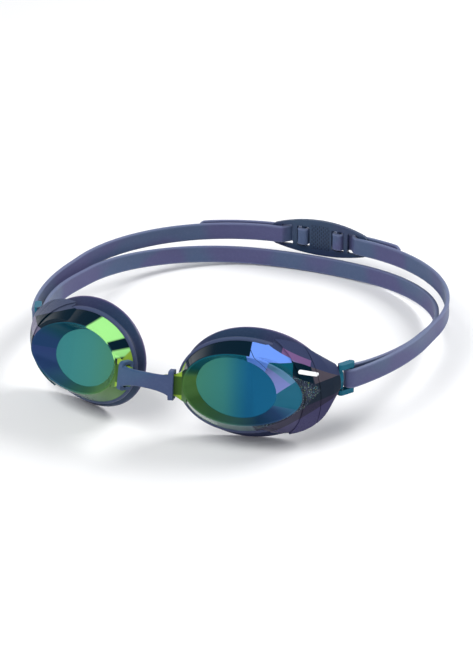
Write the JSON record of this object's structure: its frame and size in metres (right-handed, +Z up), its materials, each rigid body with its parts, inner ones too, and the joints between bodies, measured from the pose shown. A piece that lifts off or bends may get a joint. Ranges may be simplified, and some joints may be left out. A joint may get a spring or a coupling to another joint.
{
  "type": "swim goggles",
  "caption": "Swim goggles with two mirrored oval eye cups on a hooked nose bridge, soft eye seals, and a doubled silicone strap woven through an adjustable back clip.",
  "frame": {"origin": "bottom centre of the bounding box of the goggles standing on a flat surface on their two eye seals and the back of the lower strand", "axes": "+X to the wearer's left, +Y from the lenses to the back of the head, +Z up"},
  "size_m": [0.1742, 0.1818, 0.044],
  "materials": {
    "mirrored_lens": "mirror-coated clear polycarbonate",
    "seal_silicone": "satin silicone",
    "bridge_silicone": "satin silicone",
    "strap_silicone": "satin silicone",
    "clip_plastic": "satin moulded",
    "temple_trim": "satin",
    "temple_accent": "speckled foil under gloss"
  },
  "bodies": {
    "bridge": {"nose_bridge": "bridge_silicone"},
    "cup_left": {"lens_left": "mirrored_lens", "eye_seal_left": "seal_silicone", "temple_trim_left": "temple_trim", "temple_accent_left": "temple_accent"},
    "cup_right": {"lens_right": "mirrored_lens", "eye_seal_right": "seal_silicone", "temple_trim_right": "temple_trim", "temple_accent_right": "temple_accent"},
    "band_left": {"strap_turn_left": "strap_silicone", "strap_lower_left": "strap_silicone"},
    "band_right": {"strap_turn_right": "strap_silicone", "strap_lower_right": "strap_silicone"},
    "upper_left": {"strap_upper_left": "strap_silicone"},
    "upper_right": {"strap_upper_right": "strap_silicone"},
    "clip": {"back_clip": "clip_plastic", "strap_weave_left": "strap_silicone", "strap_weave_right": "strap_silicone"},
    "tail_left": {"strap_tail_left": "strap_silicone"},
    "tail_right": {"strap_tail_right": "strap_silicone"}
  },
  "joints": [
    {"name": "cup_left_swivel", "type": "hinge", "parent": "bridge", "child": "cup_left", "pos_m": [0.01057, -0.08586, 0.02621], "axis": [0, 0.0883, 0.9961], "range_deg": [-6, 6]},
    {"name": "cup_right_swivel", "type": "hinge", "parent": "bridge", "child": "cup_right", "pos_m": [-0.01057, -0.08586, 0.02621], "axis": [0, 0.0883, 0.9961], "range_deg": [-6, 6]},
    {"name": "band_left_swivel", "type": "hinge", "parent": "cup_left", "child": "band_left", "pos_m": [0.07227, -0.04967, 0.02405], "axis": [0, 0.0883, 0.9961], "range_deg": [-8, 8]},
    {"name": "band_right_swivel", "type": "hinge", "parent": "cup_right", "child": "band_right", "pos_m": [-0.07227, -0.04967, 0.02405], "axis": [0, 0.0883, 0.9961], "range_deg": [-8, 8]},
    {"name": "upper_left_lift", "type": "hinge", "parent": "band_left", "child": "upper_left", "pos_m": [0.07227, -0.04967, 0.02405], "axis": [1, 0, 0], "range_deg": [-2, 20]},
    {"name": "upper_right_lift", "type": "hinge", "parent": "band_right", "child": "upper_right", "pos_m": [-0.07227, -0.04967, 0.02405], "axis": [1, 0, 0], "range_deg": [-2, 20]},
    {"name": "clip_yaw", "type": "hinge", "parent": "upper_left", "child": "clip", "pos_m": [0.0239, 0.08198, 0.01446], "axis": [0, 0.0726, 0.9974], "range_deg": [-2, 2]},
    {"name": "tail_left_feed", "type": "hinge", "parent": "clip", "child": "tail_left", "pos_m": [0, -0.06571, 0.02522], "axis": [0, -0.0726, -0.9974], "range_deg": [-1, 3]},
    {"name": "tail_right_feed", "type": "hinge", "parent": "clip", "child": "tail_right", "pos_m": [0, -0.06571, 0.02522], "axis": [0, 0.0726, 0.9974], "range_deg": [-1, 3]}
  ],
  "couplings": [
    {"joint": "cup_right_swivel", "follows": "cup_left_swivel", "ratio": -1},
    {"joint": "band_left_swivel", "follows": "cup_left_swivel", "ratio": -1.281},
    {"joint": "band_right_swivel", "follows": "cup_left_swivel", "ratio": 1.281},
    {"joint": "clip_yaw", "follows": "cup_left_swivel", "ratio": 0.281},
    {"joint": "upper_right_lift", "follows": "upper_left_lift", "ratio": 1}
  ]
}
